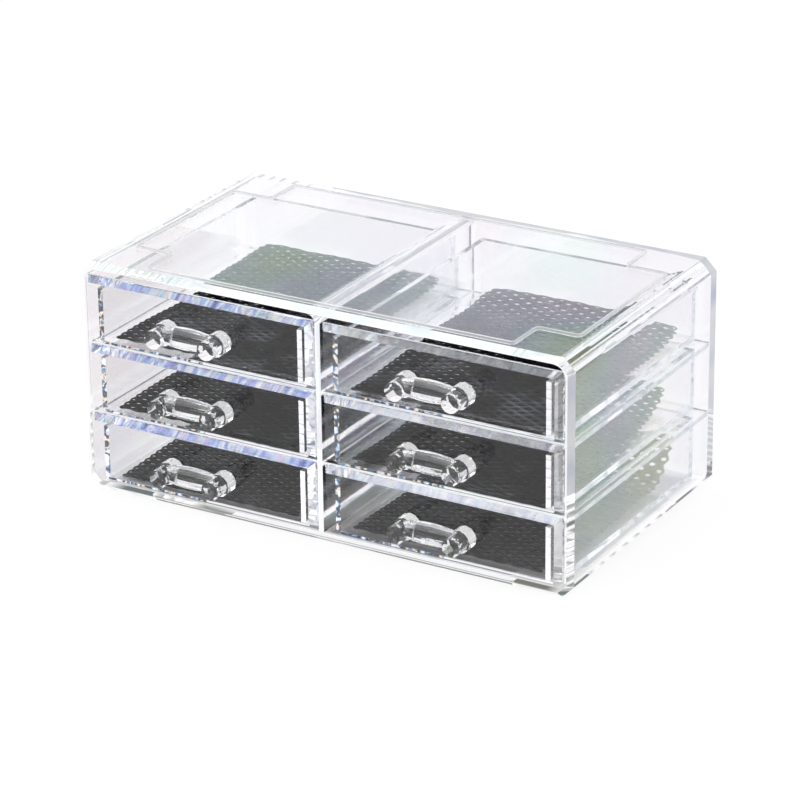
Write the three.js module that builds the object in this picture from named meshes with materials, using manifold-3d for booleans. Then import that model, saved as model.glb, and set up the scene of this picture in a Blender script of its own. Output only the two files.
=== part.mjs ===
// Six drawer cosmetics organizer in clear acrylic, with a black mesh liner in each drawer.
// Millimetres, +Z up. The front, with the bevelled drawers and their handles, faces -Y.
// The origin is on the table under the middle of the whole object.
import * as THREE from 'three';
import { mergeVertices } from 'three/addons/utils/BufferGeometryUtils.js';
import Module from 'manifold-3d';

const wasm = await Module();
wasm.setup();

// Case
const caseWidth = 238;
const caseDepth = 131;
const caseHeight = 105.6;
const sideWall = 3.4;
const topWall = 2.8;
const floorWall = 2.9;
const backWall = 3;
const cornerCut = 5.4;
const floorCut = 2.4;
const ceilingRound = 6.5;
const caseBevel = 2.4;
const footHeight = 1.8;

// Stacking ridge on the top, and the recess under the base that sits over such a ridge
const ridgeWidth = 1.2;
const ridgeHeight = 1.2;
const ridgeSideInset = 11.1;
const ridgeShift = 1.6;
const ridgeFrontInset = 4.5;
const ridgeBackInset = 7.9;
const ridgeNotch = 19.7;
const ridgeBend = 2.4;
const nestClearance = 0.6;

// Divider and shelves
const dividerThickness = 2.5;
const dividerFlare = 4.4;
const shelfThickness = 2.2;
const topRowSpare = 2.4;
const glueGap = 0.15;

// Drawer front
const frontThickness = 4.6;
const frontProud = 2.9;
const frontGap = 2.3;
const frontSideClearance = 1.15;
const frontLift = 1.8;
const frontBevelDepth = 3.4;
const frontBevelWidth = 2.1;

// Drawer tray
const trayOverhang = 5;
const trayHeadroom = 3.65;
const trayWall = 2.4;
const trayFloor = 2.2;
const trayCorner = 1;
const trayRunGap = 0.25;
const trayBackGap = 1.2;

// Handle: two faceted posts, each with a collar, and a bulged bar between them
const postSpacing = 26.2;
const postRadius = 4.2;
const postLength = 12.8;
const collarRadius = 5.1;
const collarLength = 6;
const barEndRadius = 3.2;
const barMiddleRadius = 4.8;
const barReach = 6.3;
const barRise = 0.8;
const handleRiseShare = 0.446;
const postSides = 12;
const barSides = 20;
const barSteps = 12;

// Liner: a diamond net cut from a roll, so its edges are toothed
const linerThickness = 1.2;
const linerLeftGap = 3.5;
const linerRightGap = 1.1;
const linerEndGap = 1.6;
const linerRestGap = 0.3;
const linerColumns = 6;
const linerRows = 9;
const strandWidth = 3.6;
const rippleHeight = 1.1;
const rippleCount = 1.5;
const curlHeight = 2.6;
const toothShare = 0.4;
const curlStartShare = 0.75;

// How far a cutting solid runs past the face that it cuts
const overrun = 2;

const innerHalfWidth = caseWidth / 2 - sideWall;
const floorTop = footHeight + floorWall;
const mouthTop = caseHeight - topWall;
const bayDepth = caseDepth - backWall;
const bayWidth = innerHalfWidth - dividerThickness / 2;
const bayCentre = dividerThickness / 2 + bayWidth / 2;

const rows = ['bottom', 'middle', 'top'];
const columns = [
  { name: 'left', centre: -bayCentre },
  { name: 'right', centre: bayCentre },
];
const rowPitch = (mouthTop - floorTop - topRowSpare) / rows.length;
const frontHeight = rowPitch - frontGap;
const frontBack = frontThickness - frontProud;
const trayFront = frontBack + glueGap;
const trayWidth = bayWidth - 2 * (frontSideClearance + trayOverhang);
const trayDepth = bayDepth - trayBackGap - trayFront;
const trayHeight = rowPitch - shelfThickness - trayHeadroom;

function acrylic() {
  return new THREE.MeshStandardMaterial({ color: 0xe6ecf0, roughness: 0.05, metalness: 0 });
}

function blackNet() {
  return new THREE.MeshStandardMaterial({ color: 0x232426, roughness: 0.85, metalness: 0 });
}

function toSolid(geometry) {
  const bare = geometry.clone();
  bare.deleteAttribute('normal');
  bare.deleteAttribute('uv');
  const merged = mergeVertices(bare);
  return new wasm.Manifold(new wasm.Mesh({
    numProp: 3,
    vertProperties: new Float32Array(merged.attributes.position.array),
    triVerts: new Uint32Array(merged.index.array),
  }));
}

function toGeometry(solid) {
  const { vertProperties, triVerts } = solid.getMesh();
  const geometry = new THREE.BufferGeometry();
  geometry.setAttribute('position', new THREE.BufferAttribute(vertProperties, 3));
  geometry.setIndex(new THREE.BufferAttribute(triVerts, 1));
  geometry.computeVertexNormals();
  return geometry;
}

function addMesh(group, name, geometry, material) {
  const mesh = new THREE.Mesh(geometry, material);
  mesh.name = name;
  group.add(mesh);
  return mesh;
}

// A block between two corners
function block(low, high) {
  const size = new THREE.Vector3().subVectors(high, low);
  const centre = new THREE.Vector3().addVectors(low, high).multiplyScalar(0.5);
  return new THREE.BoxGeometry(size.x, size.y, size.z).translate(centre.x, centre.y, centre.z);
}

// A closed outline through corners, each with its own rounding
function roundedShape(corners) {
  const shape = new THREE.Shape();
  corners.forEach(({ point, radius }, index) => {
    const before = corners.at(index - 1).point;
    const after = corners[(index + 1) % corners.length].point;
    const enter = before.clone().sub(point).setLength(radius).add(point);
    const leave = after.clone().sub(point).setLength(radius).add(point);
    if (index === 0) shape.moveTo(enter.x, enter.y);
    else shape.lineTo(enter.x, enter.y);
    if (radius > 0) shape.quadraticCurveTo(point.x, point.y, leave.x, leave.y);
  });
  shape.closePath();
  return shape;
}

function corner(x, y, radius) {
  return { point: new THREE.Vector2(x, y), radius };
}

// A rectangle from bottom to top, its four corners cut off at 45 degrees
function cutCornerShape(halfWidth, bottom, top, cut) {
  return roundedShape([
    corner(-halfWidth + cut, bottom, 0),
    corner(halfWidth - cut, bottom, 0),
    corner(halfWidth, bottom + cut, 0),
    corner(halfWidth, top - cut, 0),
    corner(halfWidth - cut, top, 0),
    corner(-halfWidth + cut, top, 0),
    corner(-halfWidth, top - cut, 0),
    corner(-halfWidth, bottom + cut, 0),
  ]);
}

// An upright shape run back from one depth to another
function runBack(shape, front, back) {
  const geometry = new THREE.ExtrudeGeometry(shape, { depth: back - front, bevelEnabled: false });
  return geometry.rotateX(Math.PI / 2).translate(0, back, 0);
}

// The same, with its front edge bevelled all round
function bevelledRunBack(shape, front, back, bevelDepth, bevelWidth) {
  const geometry = new THREE.ExtrudeGeometry(shape, {
    depth: back - front - bevelDepth,
    bevelThickness: bevelDepth,
    bevelSize: bevelWidth,
    bevelOffset: -bevelWidth,
    bevelSegments: 1,
  });
  geometry.rotateX(Math.PI / 2).translate(0, back, 0);
  geometry.computeBoundingBox();
  const { min, max } = geometry.boundingBox;
  const behind = block(
    new THREE.Vector3(min.x - overrun, back, min.z - overrun),
    new THREE.Vector3(max.x + overrun, back + bevelDepth + overrun, max.z + overrun),
  );
  return toSolid(geometry).subtract(toSolid(behind));
}

// The stacking outline: a rectangle with a square notch at each corner, grown by an offset
function stackingShape(offset) {
  const left = ridgeShift - caseWidth / 2 + ridgeSideInset - offset;
  const right = ridgeShift + caseWidth / 2 - ridgeSideInset + offset;
  const front = ridgeFrontInset - offset;
  const back = caseDepth - ridgeBackInset + offset;
  const outward = ridgeBend + offset;
  const inward = ridgeBend - offset;
  return roundedShape([
    corner(left + ridgeNotch, front, outward),
    corner(right - ridgeNotch, front, outward),
    corner(right - ridgeNotch, front + ridgeNotch, inward),
    corner(right, front + ridgeNotch, outward),
    corner(right, back - ridgeNotch, outward),
    corner(right - ridgeNotch, back - ridgeNotch, inward),
    corner(right - ridgeNotch, back, outward),
    corner(left + ridgeNotch, back, outward),
    corner(left + ridgeNotch, back - ridgeNotch, inward),
    corner(left, back - ridgeNotch, outward),
    corner(left, front + ridgeNotch, outward),
    corner(left + ridgeNotch, front + ridgeNotch, inward),
  ]);
}

function raise(shape, bottom, top) {
  const bends = { depth: top - bottom, bevelEnabled: false, curveSegments: 4 };
  return new THREE.ExtrudeGeometry(shape, bends).translate(0, 0, bottom);
}

// The room inside the case: its floor corners cut off, its ceiling corners rounded
function roomShape() {
  return roundedShape([
    corner(-innerHalfWidth + floorCut, floorTop, 0),
    corner(innerHalfWidth - floorCut, floorTop, 0),
    corner(innerHalfWidth, floorTop + floorCut, 0),
    corner(innerHalfWidth, mouthTop, ceilingRound),
    corner(-innerHalfWidth, mouthTop, ceilingRound),
    corner(-innerHalfWidth, floorTop + floorCut, 0),
  ]);
}

// One moulding: floor, sides, back and top, open at the front
function caseShell() {
  const outside = cutCornerShape(caseWidth / 2, 0, caseHeight, cornerCut);
  const ridge = stackingShape(ridgeWidth / 2);
  ridge.holes.push(stackingShape(-ridgeWidth / 2));
  const recess = stackingShape(ridgeWidth / 2 + nestClearance);
  const shell = bevelledRunBack(outside, 0, caseDepth, caseBevel, caseBevel)
    .subtract(toSolid(runBack(roomShape(), -overrun, bayDepth)))
    .subtract(toSolid(raise(recess, -overrun, footHeight)))
    .add(toSolid(raise(ridge, caseHeight - topWall / 2, caseHeight + ridgeHeight)));
  return toGeometry(shell);
}

// An upright plate whose top flares out to the ceiling on both sides
function centreDivider() {
  const half = dividerThickness / 2;
  const bottom = floorTop + glueGap;
  const top = mouthTop - glueGap;
  const shape = new THREE.Shape();
  shape.moveTo(-half, bottom);
  shape.lineTo(half, bottom);
  shape.lineTo(half, top - dividerFlare);
  shape.quadraticCurveTo(half, top, half + dividerFlare, top);
  shape.lineTo(-half - dividerFlare, top);
  shape.quadraticCurveTo(-half, top, -half, top - dividerFlare);
  shape.closePath();
  return runBack(shape, 0, bayDepth - glueGap);
}

// A shelf fills its bay from side to side, and the front of the drawer below covers its edge
function shelf() {
  const half = bayWidth / 2 - glueGap;
  return block(
    new THREE.Vector3(-half, trayFront, -shelfThickness),
    new THREE.Vector3(half, bayDepth - glueGap, 0),
  );
}

function drawerFront() {
  const halfWidth = bayWidth / 2 - frontSideClearance;
  const panel = cutCornerShape(halfWidth, frontLift, frontLift + frontHeight, 0);
  const plate = bevelledRunBack(panel, -frontProud, frontBack, frontBevelDepth, frontBevelWidth);
  return toGeometry(plate);
}

// The tray outline, drawn in by an offset and started at a depth, its back corners softened
function trayShape(inset, front) {
  const half = trayWidth / 2 - inset;
  const back = trayFront + trayDepth - inset;
  const bend = Math.max(trayCorner - inset, 0);
  return roundedShape([
    corner(-half, front, 0),
    corner(half, front, 0),
    corner(half, back, bend),
    corner(-half, back, bend),
  ]);
}

// A floor and three walls: the drawer front closes the open end
function drawerTray() {
  const top = trayRunGap + trayHeight;
  const outside = trayShape(0, trayFront);
  const inside = trayShape(trayWall, trayFront - overrun);
  const tray = toSolid(raise(outside, trayRunGap, top))
    .subtract(toSolid(raise(inside, trayRunGap + trayFloor, top + overrun)));
  return toGeometry(tray);
}

function alongDepth(radius, length, x) {
  const turned = new THREE.CylinderGeometry(radius, radius, length, postSides);
  return toSolid(turned.translate(x, -length / 2, 0));
}

// The bar's side swells in one arc from a post to the middle and back
function handleBar() {
  const half = postSpacing / 2;
  const swell = new THREE.QuadraticBezierCurve(
    new THREE.Vector2(barEndRadius, -half),
    new THREE.Vector2(2 * barMiddleRadius - barEndRadius, 0),
    new THREE.Vector2(barEndRadius, half),
  );
  const profile = [
    new THREE.Vector2(0, -half),
    ...swell.getPoints(barSteps),
    new THREE.Vector2(0, half),
  ];
  const bar = new THREE.LatheGeometry(profile, barSides);
  return toSolid(bar.rotateZ(Math.PI / 2).translate(0, -barReach, barRise));
}

function drawerHandle() {
  const posts = [-postSpacing / 2, postSpacing / 2].map((x) =>
    alongDepth(postRadius, postLength, x).add(alongDepth(collarRadius, collarLength, x)));
  return toGeometry(handleBar().add(posts[0]).add(posts[1]));
}

// One diamond gap of the net
function diamond(x, y, halfWidth, halfLength) {
  const path = new THREE.Path();
  path.moveTo(x + halfWidth, y);
  path.lineTo(x, y + halfLength);
  path.lineTo(x - halfWidth, y);
  path.lineTo(x, y - halfLength);
  path.closePath();
  return path;
}

// The net's outline: every edge is a row of teeth, one for each half diamond
function netOutline(cellWidth, cellLength) {
  const across = 2 * linerColumns;
  const along = linerRows + 1;
  const tooth = cellWidth * toothShare;
  const right = across * cellWidth;
  const back = along * cellLength;
  const inset = (step) => (step % 2 === 0 ? tooth : 0);
  const points = [];
  for (let i = 1; i < across; i += 1) points.push([i * cellWidth, inset(i)]);
  for (let j = 1; j < along; j += 1) points.push([right - inset(j), j * cellLength]);
  for (let i = across - 1; i > 0; i -= 1) points.push([i * cellWidth, back - inset(i)]);
  for (let j = along - 1; j > 0; j -= 1) points.push([inset(j), j * cellLength]);
  return new THREE.Shape(points.map(([x, y]) => new THREE.Vector2(x, y)));
}

// The net as it lies: soft ripples along its length, and its back edge curled up
function lay(geometry, width, length, phase) {
  const place = geometry.attributes.position;
  for (let i = 0; i < place.count; i += 1) {
    const along = place.getY(i) / length;
    const across = place.getX(i) / width;
    const wave = 2 * Math.PI * rippleCount * along + phase + across;
    const ripple = rippleHeight * (1 - Math.cos(wave)) / 2;
    const curl = Math.max(0, (along - curlStartShare) / (1 - curlStartShare));
    place.setZ(i, place.getZ(i) + ripple + curlHeight * curl * curl);
  }
}

function meshLiner(phase) {
  const width = trayWidth - 2 * trayWall - linerLeftGap - linerRightGap;
  const length = trayDepth - trayWall - 2 * linerEndGap;
  const cellWidth = width / (2 * linerColumns);
  const cellLength = length / (linerRows + 1);
  const reach = cellWidth * cellLength / Math.hypot(cellWidth, cellLength);
  const gapShare = 1 - strandWidth / 2 / reach;
  const net = netOutline(cellWidth, cellLength);
  for (let row = 1; row <= linerRows; row += 1) {
    const first = row % 2 === 1 ? 1 : 2;
    for (let step = first; step < 2 * linerColumns; step += 2) {
      const halfWidth = cellWidth * gapShare;
      const halfLength = cellLength * gapShare;
      net.holes.push(diamond(step * cellWidth, row * cellLength, halfWidth, halfLength));
    }
  }
  const geometry = new THREE.ExtrudeGeometry(net, { depth: linerThickness, bevelEnabled: false });
  lay(geometry, width, length, phase);
  const floor = trayRunGap + trayFloor + linerRestGap;
  const left = trayWall + linerLeftGap - trayWidth / 2;
  geometry.translate(left, trayFront + linerEndGap, floor);
  return geometry;
}

function caseGroup() {
  const group = new THREE.Group();
  addMesh(group, 'case_shell', caseShell(), acrylic());
  addMesh(group, 'centre_divider', centreDivider(), acrylic());
  for (const column of columns) {
    ['lower', 'upper'].forEach((level, index) => {
      const mesh = addMesh(group, `shelf_${column.name}_${level}`, shelf(), acrylic());
      mesh.position.set(column.centre, 0, floorTop + (index + 1) * rowPitch);
    });
  }
  return group;
}

function drawer(side, row, phase) {
  const group = new THREE.Group();
  const place = `${side}_${row}`;
  addMesh(group, `tray_${place}`, drawerTray(), acrylic());
  addMesh(group, `front_${place}`, drawerFront(), acrylic());
  const handle = addMesh(group, `handle_${place}`, drawerHandle(), acrylic());
  handle.position.set(0, -frontProud - glueGap, frontLift + frontHeight * handleRiseShare);
  addMesh(group, `liner_${place}`, meshLiner(phase), blackNet());
  return group;
}

const organizer = new THREE.Group();
const frontReach = frontProud + glueGap + postLength;
organizer.position.y = (frontReach - caseDepth) / 2;
organizer.add(caseGroup());
columns.forEach((column, side) => {
  rows.forEach((row, level) => {
    const group = drawer(column.name, row, side * rows.length + level);
    group.position.set(column.centre, 0, floorTop + level * rowPitch);
    organizer.add(group);
  });
});

export default organizer;
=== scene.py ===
import bpy
import math
from mathutils import Matrix, Vector


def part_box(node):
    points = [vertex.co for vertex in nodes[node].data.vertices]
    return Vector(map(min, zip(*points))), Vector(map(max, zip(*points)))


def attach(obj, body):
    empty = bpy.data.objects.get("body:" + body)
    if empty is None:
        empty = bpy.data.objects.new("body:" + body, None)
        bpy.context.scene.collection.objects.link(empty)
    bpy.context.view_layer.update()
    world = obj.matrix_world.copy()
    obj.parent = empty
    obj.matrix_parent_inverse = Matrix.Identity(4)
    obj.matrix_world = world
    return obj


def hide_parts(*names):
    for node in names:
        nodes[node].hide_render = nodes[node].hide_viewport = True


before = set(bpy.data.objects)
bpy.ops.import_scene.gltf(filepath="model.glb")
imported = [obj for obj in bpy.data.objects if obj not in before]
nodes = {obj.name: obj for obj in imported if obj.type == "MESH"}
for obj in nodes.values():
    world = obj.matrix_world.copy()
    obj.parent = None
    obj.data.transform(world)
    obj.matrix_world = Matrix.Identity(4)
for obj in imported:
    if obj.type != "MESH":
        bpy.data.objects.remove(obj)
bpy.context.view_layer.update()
mm = 0.001
print("frame loaded,", len(nodes), "nodes")


# Helpers for node trees and for edit mode

def newMaterial(name):
    material = bpy.data.materials.new(name)
    material.use_nodes = True
    material.node_tree.nodes.clear()
    return material, material.node_tree


def addNode(tree, kind, inputs=None, **settings):
    node = tree.nodes.new(kind)
    for key, value in settings.items():
        setattr(node, key, value)
    for key, value in (inputs or {}).items():
        node.inputs[key].default_value = value
    return node


def fillRamp(node, stops):
    ramp = node.color_ramp
    while len(ramp.elements) > 1:
        ramp.elements.remove(ramp.elements[-1])
    ramp.elements[0].position, ramp.elements[0].color = stops[0]
    for place, colour in stops[1:]:
        ramp.elements.new(place).color = colour


def grey(value):
    return (value, value, value, 1)


def deselectAll():
    bpy.ops.object.select_all(action="DESELECT")


def makeActive(piece):
    deselectAll()
    piece.select_set(True)
    bpy.context.view_layer.objects.active = piece


def applyAll(piece):
    makeActive(piece)
    for modifier in list(piece.modifiers):
        bpy.ops.object.modifier_apply(modifier=modifier.name)


# Most turns of a ray in the acrylic, and most lamp rays' crossings of its faces
bounces = 24
clearBounces = 32

# Clear acrylic: moulded, so its polish and its colour drift a little. A painted glow, emission added
# to rays still inside a wall after many turns, stands in for the light they would bring out, strongest
# near the top of the case
acrylic = {
    "ior": 1.49,
    "tints": [(0.35, (0.985, 0.99, 1.0, 1)), (0.65, (1.0, 1.0, 1.0, 1))],
    "cloudScale": 14.0,
    "cloudDetail": 2.0,
    "waveScale": 35.0,
    "waveHeight": 0.4 * mm,
    "waveStrength": 0.3,
    "handleWave": 0.05,
    "lowRoughness": 0.0,
    "highRoughness": 0.02,
    "caseGlow": 0.27,
    "drawerGlow": 0.22,
    "handleGlow": 0.35,
    "dividerGlow": 0.17,
    "glowAfter": bounces - 3.0,     # turns after which light counts as caught
    "glowFrom": 92 * mm,            # the case glows less below this height
    "glowTo": 104 * mm,
    "lowGlow": 0.6,
    # tints of the painted glow, picked by patches of noise of these sizes
    "caseFringeScale": 45.0,
    "drawerFringeScale": 160.0,
    "caseFringes": [(0.30, (0.55, 0.60, 0.75, 1)), (0.42, (0.85, 0.87, 0.95, 1)),
                    (0.50, (1.0, 1.0, 1.0, 1)), (0.62, (0.90, 0.92, 0.98, 1)),
                    (0.70, (0.75, 0.78, 0.90, 1))],
    "drawerFringes": [(0.36, (0.03, 0.05, 0.12, 1)), (0.42, (0.40, 0.50, 0.80, 1)),
                      (0.46, (1.0, 1.0, 1.0, 1)), (0.58, (0.95, 0.96, 1.0, 1)),
                      (0.66, (0.82, 0.82, 0.98, 1)), (0.72, (1.0, 0.86, 0.7, 1))],
    "filmIor": 1.64,
    "filmScale": 16.0,
    "thinFilm": 380.0,
    "thickFilm": 480.0,
    "frostAbove": 105.8 * mm,       # the stacking ridge
    "frost": 0.35,
}

# Painted prismatic streaks: colour on the sloping tops of the fronts that stands in for light split by
# the bevels, paler in the right column
bevelStreaks = {
    "scale": (190.0, 30.0, 60.0),
    "slant": (0, 35, 0),
    "facing": (0.2, 0.85),          # how squarely a face looks to the front, least and most
    "rising": 0.2,                  # how far it looks up, at least
    "before": 1.0,                  # how deep in the box they end
    "leftOf": 1.0,                  # how far right of the drawer's middle they end
    "rightShare": 0.5,              # how strong they are in the right column
    "tints": [(0.30, (0.10, 0.14, 0.30, 1)), (0.36, (0.24, 0.34, 0.90, 1)),
              (0.40, (0.52, 0.40, 0.86, 1)), (0.44, (0.36, 0.74, 0.98, 1)),
              (0.47, (1.0, 1.0, 1.0, 1)), (0.495, (1.0, 1.0, 1.0, 1)),
              (0.51, (0.42, 0.52, 0.92, 1)), (0.55, (0.26, 0.28, 0.62, 1)),
              (0.59, (0.55, 0.88, 0.98, 1)), (0.62, (1.0, 0.72, 0.62, 1)),
              (0.66, (0.60, 0.50, 0.90, 1)), (0.70, (1.0, 1.0, 1.0, 1))],
}

# Painted shade and prismatic colour: dark chequers with coloured edges in the front ends of the trays'
# left walls, standing in for the light and shade the wall ends refract
endStreaks = {
    "scale": (260.0, 60.0, 260.0),
    "slant": (0, 0, 0),
    "facing": (0.9, 1.1),
    "rising": -1.0,
    "before": -54.5 * mm,
    "leftOf": 0.0,
    "rightShare": 1.0,
    "tints": [(0.34, (1.0, 1.0, 1.0, 1)), (0.38, (0.40, 0.62, 0.90, 1)),
              (0.41, (0.03, 0.08, 0.20, 1)), (0.45, (0.004, 0.008, 0.02, 1)),
              (0.55, (0.01, 0.012, 0.02, 1)), (0.58, (0.80, 0.42, 0.16, 1)),
              (0.61, (1.0, 0.92, 0.80, 1)), (0.66, (0.04, 0.10, 0.22, 1))],
}


noiseMiddle = (0.3, 0.7)    # most of a noise lies between these


def rangeNode(tree, source, low, high):
    # the middle of a noise, spread over a range
    node = addNode(tree, "ShaderNodeMapRange", {
        "From Min": noiseMiddle[0], "From Max": noiseMiddle[1], "To Min": low, "To Max": high})
    tree.links.new(source, node.inputs["Value"])
    return node.outputs["Result"]


def noiseNode(tree, source, scale, detail=1.0):
    node = addNode(tree, "ShaderNodeTexNoise", {"Scale": scale, "Detail": detail})
    tree.links.new(source, node.inputs["Vector"])
    return node.outputs["Fac"]


def rampNode(tree, source, stops):
    node = addNode(tree, "ShaderNodeValToRGB")
    fillRamp(node, stops)
    tree.links.new(source, node.inputs["Fac"])
    return node.outputs["Color"]


def mathNode(tree, operation, first, second):
    node = addNode(tree, "ShaderNodeMath", operation=operation)
    for value, socket in zip([first, second], node.inputs):
        if isinstance(value, float):
            socket.default_value = value
        else:
            tree.links.new(value, socket)
    return node.outputs[0]


def betweenNode(tree, source, low, high):
    # one where the source lies between two values, else nought
    return mathNode(tree, "MULTIPLY", mathNode(tree, "GREATER_THAN", source, low),
                    mathNode(tree, "LESS_THAN", source, high))


def splitNode(tree, source):
    node = addNode(tree, "ShaderNodeSeparateXYZ")
    tree.links.new(source, node.inputs["Vector"])
    return node.outputs


def mixColours(tree, factor, first, second):
    mix = addNode(tree, "ShaderNodeMix", data_type="RGBA")
    for value, socket in zip([factor, first, second], ["Factor", "A", "B"]):
        if isinstance(value, tuple):
            mix.inputs[socket].default_value = value
        else:
            tree.links.new(value, mix.inputs[socket])
    return mix.outputs["Result"]


columnMiddle = abs(sum(corner[0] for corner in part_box("tray_left_top")) / 2)


def streakShare(tree, place, streaks):
    # where the streaks are, from the slope of the face and its place in the drawer
    normal = addNode(tree, "ShaderNodeNewGeometry").outputs["True Normal"]
    facing = splitNode(tree, normal)
    where = splitNode(tree, place)
    tilt = mathNode(tree, "ABSOLUTE", facing["Y"], 0.0)
    sloped = betweenNode(tree, tilt, *streaks["facing"])
    rising = mathNode(tree, "GREATER_THAN", facing["Z"], streaks["rising"])
    ahead = mathNode(tree, "LESS_THAN", where["Y"], streaks["before"])
    side = mathNode(tree, "SIGN", where["X"], 0.0)
    middle = mathNode(tree, "MULTIPLY", side, columnMiddle)
    fromMiddle = mathNode(tree, "SUBTRACT", where["X"], middle)
    leftward = mathNode(tree, "LESS_THAN", fromMiddle, streaks["leftOf"])
    column = addNode(tree, "ShaderNodeMapRange", {
        "From Min": -1.0, "From Max": 1.0, "To Min": 1.0, "To Max": streaks["rightShare"]})
    tree.links.new(side, column.inputs["Value"])
    share = column.outputs["Result"]
    for part in [sloped, rising, ahead, leftward]:
        share = mathNode(tree, "MULTIPLY", share, part)
    return share


def addStreaks(tree, place, plain, streaks):
    stretch = addNode(tree, "ShaderNodeMapping", {
        "Scale": streaks["scale"], "Rotation": [math.radians(turn) for turn in streaks["slant"]]})
    tree.links.new(place, stretch.inputs["Vector"])
    tints = rampNode(tree, noiseNode(tree, stretch.outputs["Vector"], 1.0), streaks["tints"])
    return mixColours(tree, streakShare(tree, place, streaks), plain, tints)


def frostRidge(tree, place, polish):
    # the stacking ridge on the top is a little frosted
    height = splitNode(tree, place)["Z"]
    high = mathNode(tree, "GREATER_THAN", height, acrylic["frostAbove"])
    return mathNode(tree, "MAXIMUM", polish, mathNode(tree, "MULTIPLY", high, acrylic["frost"]))


def trappedGlow(tree, place, path, part, glow):
    # painted glow: emission on rays still inside after many turns, standing in for the light they would
    # bring out, weaker low down in the case
    trapped = mathNode(tree, "GREATER_THAN", path.outputs["Ray Depth"], acrylic["glowAfter"])
    if part == "case":
        fall = addNode(tree, "ShaderNodeMapRange", {
            "From Min": acrylic["glowFrom"], "From Max": acrylic["glowTo"],
            "To Min": acrylic["lowGlow"]})
        tree.links.new(splitNode(tree, place)["Z"], fall.inputs["Value"])
        trapped = mathNode(tree, "MULTIPLY", trapped, fall.outputs["Result"])
    return mathNode(tree, "MULTIPLY", trapped, glow)


def makeAcrylic(kind, part, glow, filmed=False, streaks=None):
    material, tree = newMaterial(kind + "Acrylic")
    link = tree.links.new
    out = addNode(tree, "ShaderNodeOutputMaterial")
    path = addNode(tree, "ShaderNodeLightPath")
    place = addNode(tree, "ShaderNodeTexCoord").outputs["Object"]
    body = addNode(tree, "ShaderNodeBsdfPrincipled", {
        "Transmission Weight": 1.0, "IOR": acrylic["ior"]})
    cloud = noiseNode(tree, place, acrylic["cloudScale"], acrylic["cloudDetail"])
    tint = rampNode(tree, cloud, acrylic["tints"])
    haze = 0.0 if kind == "handle" else acrylic["highRoughness"]
    polish = rangeNode(tree, cloud, acrylic["lowRoughness"], haze)
    # painted prismatic colour on the chosen faces
    if streaks:
        tint = addStreaks(tree, place, tint, streaks)
    if filmed:
        polish = frostRidge(tree, place, polish)
        body.inputs["Thin Film IOR"].default_value = acrylic["filmIor"]
        film = noiseNode(tree, place, acrylic["filmScale"])
        link(rangeNode(tree, film, acrylic["thinFilm"], acrylic["thickFilm"]),
             body.inputs["Thin Film Thickness"])
    bump = addNode(tree, "ShaderNodeBump", {
        "Strength": acrylic["handleWave" if kind == "handle" else "waveStrength"],
        "Distance": acrylic["waveHeight"]})
    link(noiseNode(tree, place, acrylic["waveScale"]), bump.inputs["Height"])
    # painted glow colour: patches of noise pick the glow's tint from the fringe ramp
    glowPatch = noiseNode(tree, place, acrylic[part + "FringeScale"])
    link(rampNode(tree, glowPatch, acrylic[part + "Fringes"]), body.inputs["Emission Color"])
    link(trappedGlow(tree, place, path, part, glow), body.inputs["Emission Strength"])
    link(tint, body.inputs["Base Color"])
    link(polish, body.inputs["Roughness"])
    link(bump.outputs["Normal"], body.inputs["Normal"])
    lampRays = addNode(tree, "ShaderNodeBsdfTransparent")
    blend = addNode(tree, "ShaderNodeMixShader")
    link(path.outputs["Is Shadow Ray"], blend.inputs["Fac"])
    link(body.outputs["BSDF"], blend.inputs[1])
    link(lampRays.outputs["BSDF"], blend.inputs[2])
    link(blend.outputs["Shader"], out.inputs["Surface"])
    return material


caseAcrylic = makeAcrylic("case", "case", acrylic["caseGlow"], filmed=True)
otherAcrylics = {
    "centre": makeAcrylic("divider", "drawer", acrylic["dividerGlow"], filmed=True),
    "tray": makeAcrylic("tray", "drawer", acrylic["drawerGlow"], streaks=endStreaks),
    "front": makeAcrylic("front", "drawer", acrylic["drawerGlow"], streaks=bevelStreaks),
    "handle": makeAcrylic("handle", "drawer", acrylic["handleGlow"]),
}
for name, node in nodes.items():
    kind = name.split("_")[0]
    if kind != "liner":
        node.data.materials.clear()
        node.data.materials.append(otherAcrylics.get(kind, caseAcrylic))
print("acrylic done")


# Black mesh liners: soft plastic net with diamond gaps, one in each drawer
net = {
    "columns": 11,
    "rows": 27,
    "thickness": 0.7 * mm,
    "strandShare": 0.54,            # of half a diamond
    "strandRound": 1,
    "knotHeight": 0.3 * mm,
    "edgeTooth": 0.45,              # what the cut leaves of the outer half diamonds
    "cornerRadius": 9 * mm,
    "joinShare": 0.01,              # of a diamond, how near corners are merged
    "knotReach": 0.05,              # of half a diamond, how near a crossing counts as one
    "rippleHeight": 1.1 * mm,
    "rippleCount": 1.5,
    "curlHeight": 2.6 * mm,
    "curlStart": 0.75,
    "drawStart": 0.4,
    "blacks": [(0.35, (0.004, 0.004, 0.005, 1)), (0.7, (0.012, 0.012, 0.014, 1))],
    "patchScale": 60.0,
    "patchDetail": 4.0,
    # colour of the painted glints on the crossings
    "knot": (0.16, 0.17, 0.19, 1),
    "knotFocus": 5.0,
    "knotGlintSpread": (-0.6, 1.0),
    "grainScale": 1400.0,
    "grainDetail": 2.0,
    "grainHeight": 0.2 * mm,
    "grainStrength": 0.4,
    "roughness": 0.6,
    "shine": 0.0,
}


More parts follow.
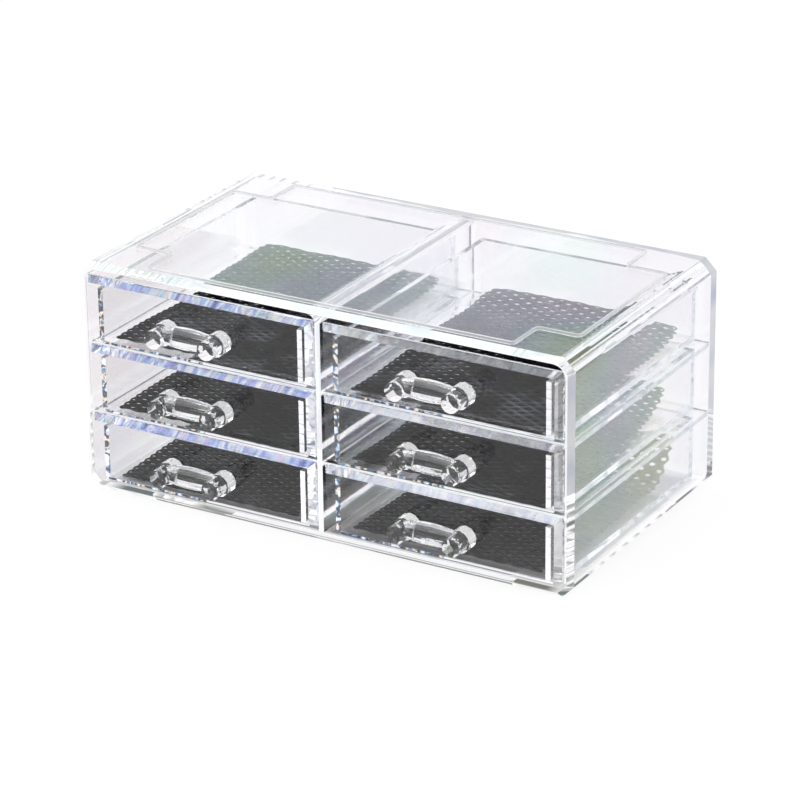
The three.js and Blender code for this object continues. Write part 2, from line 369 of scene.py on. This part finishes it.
def makeNetMaterial():
    material, tree = newMaterial("blackNet")
    link = tree.links.new
    out = addNode(tree, "ShaderNodeOutputMaterial")
    place = addNode(tree, "ShaderNodeTexCoord").outputs["Object"]
    body = addNode(tree, "ShaderNodeBsdfPrincipled", {
        "Roughness": net["roughness"], "Specular IOR Level": net["shine"]})
    patch = noiseNode(tree, place, net["patchScale"], net["patchDetail"])
    # painted highlights: the crossings of the strands are painted paler, here and there, standing in
    # for glints off them
    knot = addNode(tree, "ShaderNodeAttribute", attribute_name="knot")
    focus = mathNode(tree, "POWER", knot.outputs["Fac"], net["knotFocus"])
    glintShare = mathNode(tree, "MULTIPLY", focus, rangeNode(tree, patch, *net["knotGlintSpread"]))
    shade = mixColours(tree, glintShare, rampNode(tree, patch, net["blacks"]), net["knot"])
    link(shade, body.inputs["Base Color"])
    bump = addNode(tree, "ShaderNodeBump", {
        "Strength": net["grainStrength"], "Distance": net["grainHeight"]})
    link(noiseNode(tree, place, net["grainScale"], net["grainDetail"]), bump.inputs["Height"])
    link(bump.outputs["Normal"], body.inputs["Normal"])
    link(body.outputs["BSDF"], out.inputs["Surface"])
    return material


netMaterial = makeNetMaterial()


def flatNet(name, low, high):
    # one diamond ring, repeated in two staggered sets, its corners the teeth of the edges
    cellWidth = (high.x - low.x) / net["columns"]
    cellLength = (high.y - low.y) / net["rows"]
    deselectAll()
    bpy.ops.mesh.primitive_circle_add(vertices=4, radius=1, fill_type="NGON", location=(0, 0, 0))
    ring = bpy.context.object
    ring.name = name
    bpy.ops.object.mode_set(mode="EDIT")
    bpy.ops.mesh.select_all(action="SELECT")
    bpy.ops.mesh.inset(thickness=net["strandShare"] * math.sqrt(0.5), use_even_offset=True)
    bpy.ops.mesh.delete(type="FACE")
    bpy.ops.mesh.select_all(action="SELECT")
    bpy.ops.transform.resize(value=(cellWidth / 2, cellLength / 2, 1))
    bpy.ops.object.mode_set(mode="OBJECT")
    deselectAll()
    ring.select_set(True)
    bpy.ops.object.duplicate()
    second = bpy.context.object
    sets = [(ring, net["columns"], net["rows"], 0), (second, net["columns"] - 1, net["rows"] - 1, 1)]
    for piece, across, along, step in sets:
        makeActive(piece)
        for count, offset in [(across, (cellWidth, 0, 0)), (along, (0, cellLength, 0))]:
            array = piece.modifiers.new("repeat", "ARRAY")
            array.use_relative_offset = False
            array.use_constant_offset = True
            array.constant_offset_displace = offset
            array.count = count
        applyAll(piece)
        bpy.ops.object.mode_set(mode="EDIT")
        bpy.ops.mesh.select_all(action="SELECT")
        start = Vector((low.x + cellWidth * (1 + step) / 2, low.y + cellLength * (1 + step) / 2, low.z))
        bpy.ops.transform.translate(value=start)
        bpy.ops.object.mode_set(mode="OBJECT")
    deselectAll()
    second.select_set(True)
    ring.select_set(True)
    bpy.context.view_layer.objects.active = ring
    bpy.ops.object.join()
    bpy.ops.object.mode_set(mode="EDIT")
    bpy.ops.mesh.select_all(action="SELECT")
    bpy.ops.mesh.remove_doubles(threshold=cellLength * net["joinShare"])
    bpy.ops.mesh.normals_make_consistent(inside=False)
    bpy.ops.object.mode_set(mode="OBJECT")
    return ring


# How each net lies: phase of its ripples, lift of its right back corner, and how far its
# right edge is drawn in at the back. The lift starts at these shares of length and width.
lies = {
    "left_bottom": {"phase": 0.0, "lift": 0.0, "draw": 2.0 * mm},
    "left_middle": {"phase": 1.0, "lift": 1.5 * mm, "draw": 0.0},
    "left_top": {"phase": 2.0, "lift": 0.0, "draw": 1.0 * mm},
    "right_bottom": {"phase": 3.0, "lift": 13.0 * mm, "draw": 1.0 * mm},
    "right_middle": {"phase": 4.0, "lift": 3.0 * mm, "draw": 6.0 * mm},
    "right_top": {"phase": 5.0, "lift": 0.0, "draw": 0.0},
}
lift = {"start": 0.8, "fromLeft": 0.35}


def ramp(value, start):
    # nought up to the start, then a soft rise to one
    share = min(1, max(0, (value - start) / (1 - start)))
    return share * share * (3 - 2 * share)


def trimEdges(piece, low, size):
    # the net is cut a little inside its last diamonds on every side but the right
    halfCell = (size.x / net["columns"] / 2, size.y / net["rows"] / 2)
    for vertex in piece.data.vertices:
        for axis, ends in [(0, (True, False)), (1, (True, True))]:
            half, length = halfCell[axis], size[axis]
            lost = half * (1 - net["edgeTooth"])
            place = vertex.co[axis] - low[axis]
            if ends[0]:
                place = max(place, half - (half - place) * net["edgeTooth"])
            if ends[1]:
                rest = length - place
                place = length - max(rest, half - (half - rest) * net["edgeTooth"])
            full = length - lost * (ends[0] + ends[1])
            vertex.co[axis] = low[axis] + (place - lost * ends[0]) * length / full


def roundCorners(piece, low, size):
    radius = net["cornerRadius"]
    for vertex in piece.data.vertices:
        fromBack = 1 - (low.y + size.y - vertex.co.y) / radius
        for start, turn in [(low.x, 1), (low.x + size.x, -1)]:
            fromSide = 1 - (vertex.co.x - start) * turn / radius
            if fromBack > 0 and fromSide > 0:
                shrink = max(fromBack, fromSide) / math.hypot(fromBack, fromSide)
                vertex.co.x = start + turn * radius * (1 - fromSide * shrink)
                vertex.co.y = low.y + size.y - radius * (1 - fromBack * shrink)


def raiseKnots(piece, low, size):
    # every crossing of the strands stands a little proud
    halfWidth, halfLength = size.x / net["columns"] / 2, size.y / net["rows"] / 2
    knots = piece.data.attributes.new("knot", "FLOAT", "POINT")
    for vertex in piece.data.vertices:
        across = (vertex.co.x - low.x) / halfWidth
        along = (vertex.co.y - low.y) / halfLength
        off = max(abs(across - round(across)), abs(along - round(along)))
        if off < net["knotReach"]:
            vertex.co.z += net["knotHeight"]
            knots.data[vertex.index].value = 1.0


def layNet(piece, low, size, lie):
    # soft waves along the drawer, the far end curled up, one corner lifted
    for vertex in piece.data.vertices:
        along = (vertex.co.y - low.y) / size.y
        across = (vertex.co.x - low.x) / size.x
        wave = 2 * math.pi * net["rippleCount"] * along + lie["phase"] + across
        curl = max(0, (along - net["curlStart"]) / (1 - net["curlStart"]))
        corner = ramp(along, lift["start"]) * ramp(across, lift["fromLeft"])
        vertex.co.z += net["rippleHeight"] * (1 - math.cos(wave)) / 2
        vertex.co.z += net["curlHeight"] * curl ** 2 + lie["lift"] * corner
        vertex.co.x -= lie["draw"] * ramp(along, net["drawStart"]) * across ** 2


def makeLiner(side, row):
    place = f"{side}_{row}"
    nodeName = f"liner_{place}"
    low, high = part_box(nodeName)
    low, high = Vector(low), Vector(high)
    size = high - low
    piece = flatNet(f"net_{place}", low, high)
    raiseKnots(piece, low, size)
    trimEdges(piece, low, size)
    roundCorners(piece, low, size)
    layNet(piece, low, size, lies[place])
    thicken = piece.modifiers.new("thickness", "SOLIDIFY")
    thicken.thickness = net["thickness"]
    thicken.offset = 1
    smooth = piece.modifiers.new("smooth", "SUBSURF")
    smooth.levels = smooth.render_levels = net["strandRound"]
    applyAll(piece)
    bpy.ops.object.shade_smooth()
    piece.data.materials.clear()
    piece.data.materials.append(netMaterial)
    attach(piece, f"drawer_{place}")
    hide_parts(nodeName)


for side in ["left", "right"]:
    for row in ["bottom", "middle", "top"]:
        makeLiner(side, row)
print("liners done")


# White studio
studio = {
    "floorSize": 12.0,
    "floorGlow": 0.86,
    "floorColour": 0.9,
    "floorBounce": 0.2,             # share of its colour that the floor adds to its glow
    "nearFloor": 0.65,
    "farFloor": 1.0,
    "floorFall": (-120 * mm, 0.0),
    "shadeMiddle": (0.0, 8 * mm, 0.0),
    "shadeHalf": (108 * mm, 60 * mm, 1.0),
    "shadeSoft": 4 * mm,
    "shadeFloor": 0.15,
    "skyBack": 1.05,
    "skyFront": 0.35,
    "skyTurn": (0.25, 0.62),        # where the front of the sky ends and its back starts
    "skyTop": 2.2,
    "skyRise": (0.5, 0.95),         # where the ceiling starts and is full
    "diffuseSky": 0.75,
    "flagFrom": 0.70,
    "flagTo": 0.97,
    "flagShade": 0.45,
    "lampStrength": 0.6,
    "lampTurn": (28, -18, 0),
    "lampAngle": 60,
}


def floorShade(tree, place):
    # painted shadow: the floor's glow is lowered in a soft box below the case, for the light the nets
    # keep from it
    middle = addNode(tree, "ShaderNodeVectorMath", {1: studio["shadeMiddle"]}, operation="SUBTRACT")
    tree.links.new(place, middle.inputs[0])
    away = addNode(tree, "ShaderNodeVectorMath", operation="ABSOLUTE")
    tree.links.new(middle.outputs["Vector"], away.inputs[0])
    reach = addNode(tree, "ShaderNodeVectorMath", {1: studio["shadeHalf"]}, operation="SUBTRACT")
    tree.links.new(away.outputs["Vector"], reach.inputs[0])
    outside = splitNode(tree, reach.outputs["Vector"])
    rim = addNode(tree, "ShaderNodeMapRange", {
        "From Min": -studio["shadeSoft"], "From Max": studio["shadeSoft"],
        "To Min": studio["shadeFloor"], "To Max": 1.0})
    tree.links.new(mathNode(tree, "MAXIMUM", outside["X"], outside["Y"]), rim.inputs["Value"])
    return rim.outputs["Result"]


def makeFloorMaterial():
    # white to the camera, in the acrylic brighter behind the case than before it
    material, tree = newMaterial("studioFloor")
    link = tree.links.new
    out = addNode(tree, "ShaderNodeOutputMaterial")
    path = addNode(tree, "ShaderNodeLightPath")
    place = addNode(tree, "ShaderNodeTexCoord").outputs["Object"]
    fall = addNode(tree, "ShaderNodeMapRange", {
        "From Min": studio["floorFall"][0], "From Max": studio["floorFall"][1],
        "To Min": studio["nearFloor"], "To Max": studio["farFloor"]})
    link(splitNode(tree, place)["Y"], fall.inputs["Value"])
    shaded = mathNode(tree, "MULTIPLY", fall.outputs["Result"], floorShade(tree, place))
    seen = mathNode(tree, "MAXIMUM", path.outputs["Is Camera Ray"], shaded)
    glow = addNode(tree, "ShaderNodeEmission", {"Color": grey(1)})
    link(mathNode(tree, "MULTIPLY", seen, studio["floorGlow"]), glow.inputs["Strength"])
    bounce = studio["floorColour"] * studio["floorBounce"]
    matt = addNode(tree, "ShaderNodeBsdfDiffuse", {"Color": grey(bounce)})
    both = addNode(tree, "ShaderNodeAddShader")
    link(glow.outputs["Emission"], both.inputs[0])
    link(matt.outputs["BSDF"], both.inputs[1])
    plain = addNode(tree, "ShaderNodeBsdfDiffuse", {"Color": grey(studio["floorColour"])})
    choose = addNode(tree, "ShaderNodeMixShader")
    link(path.outputs["Is Diffuse Ray"], choose.inputs["Fac"])
    link(both.outputs["Shader"], choose.inputs[1])
    link(plain.outputs["BSDF"], choose.inputs[2])
    link(choose.outputs["Shader"], out.inputs["Surface"])
    return material


def makeFloor():
    deselectAll()
    bpy.ops.mesh.primitive_grid_add(x_subdivisions=2, y_subdivisions=2, size=studio["floorSize"],
                                    location=(0, 0, 0))
    floor = bpy.context.object
    floor.name = "studioFloor"
    floor.data.materials.append(makeFloorMaterial())


def skyColour(tree):
    # darker before the case, white behind it, a bright ceiling, and a dark flag at each side
    # for the thin dark lines in the edges
    where = splitNode(tree, addNode(tree, "ShaderNodeTexCoord").outputs["Generated"])
    turn = addNode(tree, "ShaderNodeMapRange", {"From Min": -1.0, "From Max": 1.0})
    tree.links.new(where["Y"], turn.inputs["Value"])
    shades = [grey(studio["skyFront"]), grey(studio["skyBack"])]
    sides = rampNode(tree, turn.outputs["Result"], list(zip(studio["skyTurn"], shades)))
    aside = mathNode(tree, "ABSOLUTE", where["X"], 0.0)
    flagged = betweenNode(tree, aside, studio["flagFrom"], studio["flagTo"])
    around = mixColours(tree, flagged, sides, grey(studio["flagShade"]))
    rise = rampNode(tree, where["Z"], list(zip(studio["skyRise"], [grey(0), grey(1)])))
    return mixColours(tree, rise, around, grey(studio["skyTop"]))


def makeWorld():
    world = bpy.data.worlds.new("studio")
    bpy.context.scene.world = world
    world.use_nodes = True
    tree = world.node_tree
    tree.nodes.clear()
    link = tree.links.new
    out = addNode(tree, "ShaderNodeOutputWorld")
    path = addNode(tree, "ShaderNodeLightPath")
    seen = addNode(tree, "ShaderNodeBackground", {"Strength": 1.0})
    link(skyColour(tree), seen.inputs["Color"])
    white = addNode(tree, "ShaderNodeBackground", {"Color": grey(1), "Strength": 1.0})
    soft = addNode(tree, "ShaderNodeBackground", {"Color": grey(1), "Strength": studio["diffuseSky"]})
    last = seen
    for ray, other in [("Is Camera Ray", white), ("Is Diffuse Ray", soft)]:
        choose = addNode(tree, "ShaderNodeMixShader")
        link(path.outputs[ray], choose.inputs["Fac"])
        link(last.outputs[0], choose.inputs[1])
        link(other.outputs[0], choose.inputs[2])
        last = choose
    link(last.outputs[0], out.inputs["Surface"])


def makeLamp():
    lamp = bpy.data.lights.new("softLamp", "SUN")
    lamp.energy = studio["lampStrength"]
    lamp.angle = math.radians(studio["lampAngle"])
    holder = bpy.data.objects.new("softLamp", lamp)
    holder.rotation_euler = [math.radians(a) for a in studio["lampTurn"]]
    bpy.context.scene.collection.objects.link(holder)


makeFloor()
makeWorld()
makeLamp()
print("studio done")


# Camera
view = {
    "azimuth": 30.4897,
    "elevation": 22.8782,
    "roll": -0.7152,
    "distance": 1.60706,
    "aim": (-0.002795, 0.013825, 0.03806),
    "lens": 166.709,
    "clipEnd": 50,
}


def makeCamera():
    turn, rise, roll = (math.radians(view[key]) for key in ["azimuth", "elevation", "roll"])
    back = Vector((math.sin(turn) * math.cos(rise), -math.cos(turn) * math.cos(rise), math.sin(rise)))
    right = Vector((math.cos(turn), math.sin(turn), 0))
    up = back.cross(right)
    across = math.cos(roll) * right + math.sin(roll) * up
    above = math.cos(roll) * up - math.sin(roll) * right
    camera = bpy.data.cameras.new("camera")
    camera.lens = view["lens"]
    camera.clip_end = view["clipEnd"]
    holder = bpy.data.objects.new("camera", camera)
    place = Matrix((across, above, back)).transposed().to_4x4()
    place.translation = Vector(view["aim"]) + back * view["distance"]
    holder.matrix_world = place
    bpy.context.scene.collection.objects.link(holder)
    bpy.context.scene.camera = holder


makeCamera()
print("camera done")

scene = bpy.context.scene
scene.view_settings.view_transform = "Standard"
scene.cycles.max_bounces = bounces
scene.cycles.transmission_bounces = bounces
scene.cycles.glossy_bounces = bounces
scene.cycles.transparent_max_bounces = clearBounces
